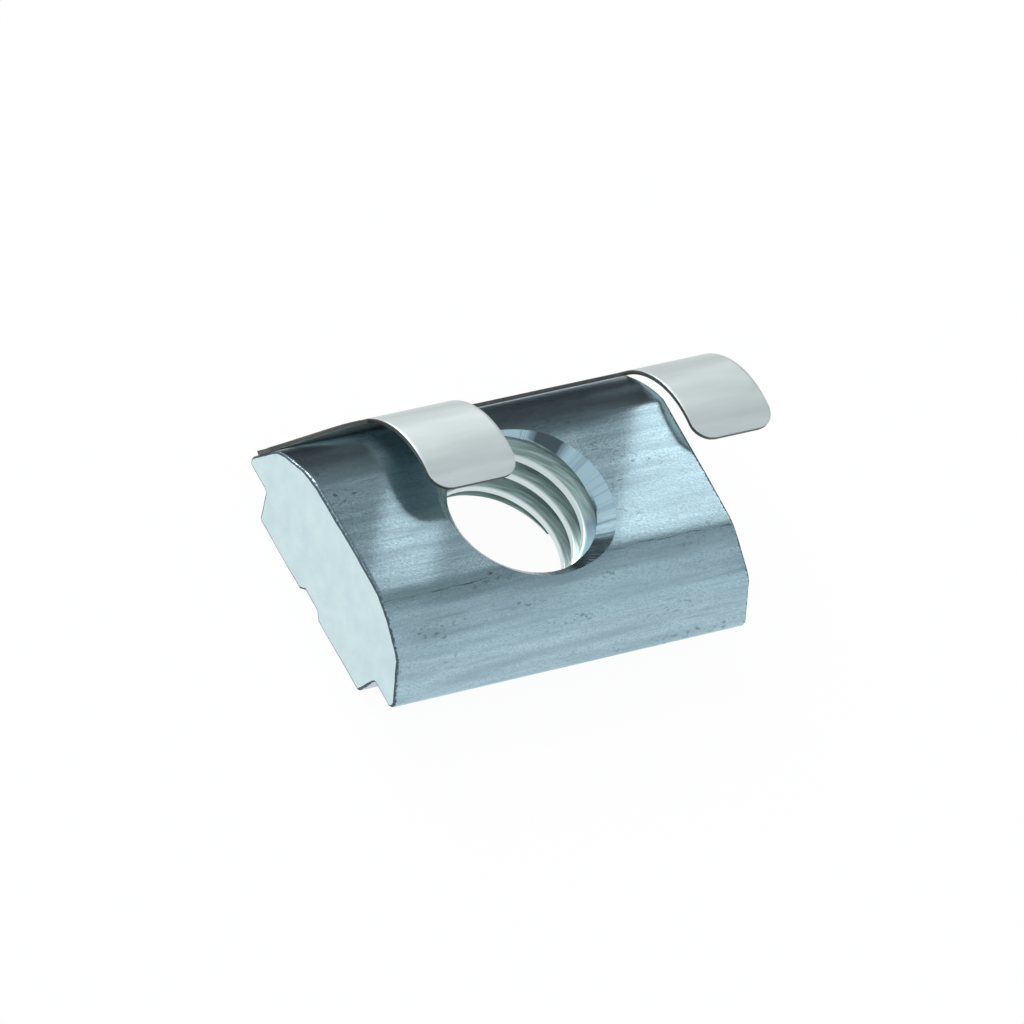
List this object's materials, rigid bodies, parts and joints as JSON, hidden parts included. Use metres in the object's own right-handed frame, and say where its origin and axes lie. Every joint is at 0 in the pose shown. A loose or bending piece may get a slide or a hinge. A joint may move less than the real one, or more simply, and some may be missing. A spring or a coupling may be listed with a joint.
{
  "type": "profile t-nut",
  "caption": "Swivel-in T-slot nut: zinc-plated drawn steel bar with stepped collar, arched back and tapped through-hole, held in the slot by a stainless leaf spring with curled fingers.",
  "frame": {"origin": "on the thread's axis, in the plane of the shoulders' lower faces that bear on the slot's lips", "axes": "+X along the bar towards the overhanging spring finger, +Y towards the side that carries the spring, +Z out of the arched back"},
  "size_m": [0.0234, 0.0138, 0.0063],
  "materials": {
    "zinc_plated_steel": "bright blue-passivated zinc plate, semi-gloss",
    "stainless_spring_steel": "cold-rolled, satin"
  },
  "bodies": {
    "root": {"nut_body": "zinc_plated_steel", "leaf_spring": "stainless_spring_steel"}
  },
  "joints": []
}
